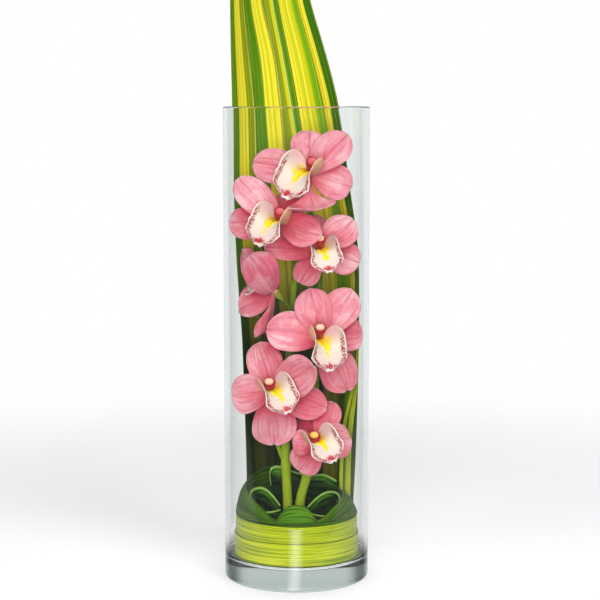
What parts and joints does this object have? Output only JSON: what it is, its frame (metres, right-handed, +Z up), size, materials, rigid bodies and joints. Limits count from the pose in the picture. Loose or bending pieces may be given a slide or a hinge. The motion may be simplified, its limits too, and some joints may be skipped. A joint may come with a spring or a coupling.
{
  "type": "orchid stems in a glass vase",
  "caption": "Cut pink orchid sprays in a tall clear glass cylinder, with striped strap leaves standing behind them and leaves wound round the bottom.",
  "frame": {"origin": "centre of the vase's flat underside, on the surface that it stands on", "axes": "+Z up along the vase's axis; the blooms face -Y; +X is to the right as seen from the front"},
  "size_m": [0.152, 0.152, 0.87],
  "materials": {
    "glass": "polished",
    "petal": "satin",
    "lip": "satin",
    "column": "satin",
    "stem": "satin",
    "striped_leaf": "satin",
    "blade": "satin",
    "wound_leaf": "gloss",
    "dark_leaf": "gloss"
  },
  "bodies": {
    "root": {"vase": "glass", "leaf_wrap_lower": "wound_leaf", "leaf_wrap_upper": "wound_leaf", "leaf_collar": "dark_leaf", "curled_leaf_left": "dark_leaf", "curled_leaf_right": "dark_leaf", "curled_leaf_back": "dark_leaf", "striped_leaf_1": "striped_leaf", "striped_leaf_2": "striped_leaf", "striped_leaf_3": "striped_leaf", "striped_leaf_4": "striped_leaf", "striped_leaf_5": "striped_leaf", "narrow_blade_1": "blade", "narrow_blade_2": "blade", "stem_left": "stem", "stem_right": "stem", "bloom_1": "petal", "bloom_2": "petal", "bloom_3": "petal", "bloom_4": "petal", "bloom_5": "petal", "bloom_6": "petal", "bloom_7": "petal", "lip_1": "lip", "lip_2": "lip", "lip_3": "lip", "lip_4": "lip", "lip_5": "lip", "lip_6": "lip", "lip_7": "lip", "column_1": "column", "column_2": "column", "column_3": "column", "column_4": "column", "column_5": "column", "column_6": "column", "column_7": "column"}
  },
  "joints": []
}
